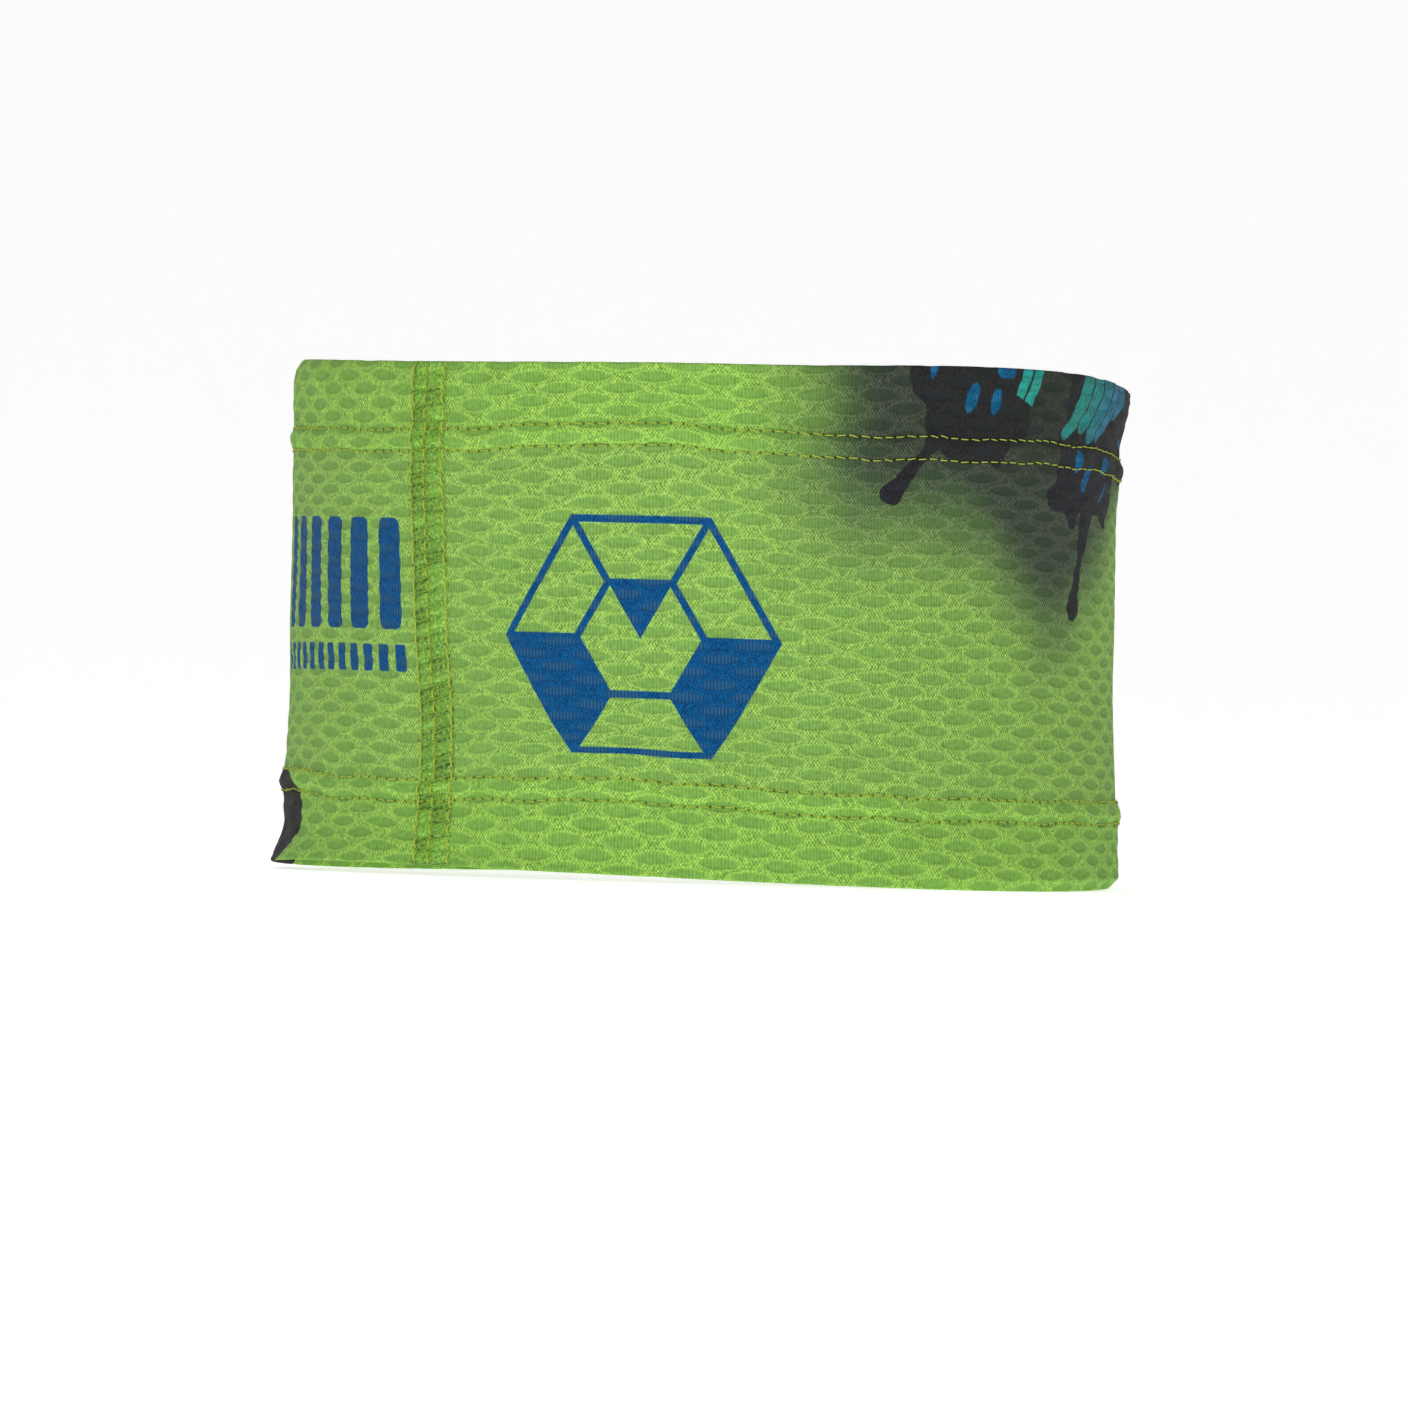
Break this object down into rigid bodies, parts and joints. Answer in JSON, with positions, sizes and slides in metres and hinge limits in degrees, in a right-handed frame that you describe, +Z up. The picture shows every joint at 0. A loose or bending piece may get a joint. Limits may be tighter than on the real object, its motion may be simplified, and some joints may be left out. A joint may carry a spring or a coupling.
{
  "type": "sports sweatband",
  "caption": "Stretchy mesh-knit sweatband worn round the head: a printed open tube of cloth with a flat seam and a stitched hem at each rim.",
  "frame": {"origin": "centre of the plane that the lower rim rests on", "axes": "+Z up along the axis of the tube, from the lower rim to the upper rim; -Y faces the side that carries the printed emblem; the seam is 41 degrees to the left of -Y as seen from outside"},
  "size_m": [0.1652, 0.1652, 0.1],
  "materials": {
    "printed_mesh": "polyester and elastane mesh knit, lime green, dye-printed on the outer side",
    "needle_thread": "spun polyester sewing thread, yellow green",
    "overlock_thread": "textured polyester looper thread, leaf green"
  },
  "bodies": {
    "root": {"mesh_panel": "printed_mesh", "bottom_hem_outer_row_thread": "needle_thread", "bottom_hem_inner_row_thread": "needle_thread", "bottom_hem_looper_thread": "overlock_thread", "top_hem_outer_row_thread": "needle_thread", "top_hem_inner_row_thread": "needle_thread", "top_hem_looper_thread": "overlock_thread", "seam_left_needle_thread": "needle_thread", "seam_middle_needle_thread": "needle_thread", "seam_right_needle_thread": "needle_thread", "seam_cover_thread": "overlock_thread", "seam_looper_thread": "overlock_thread"}
  },
  "joints": []
}
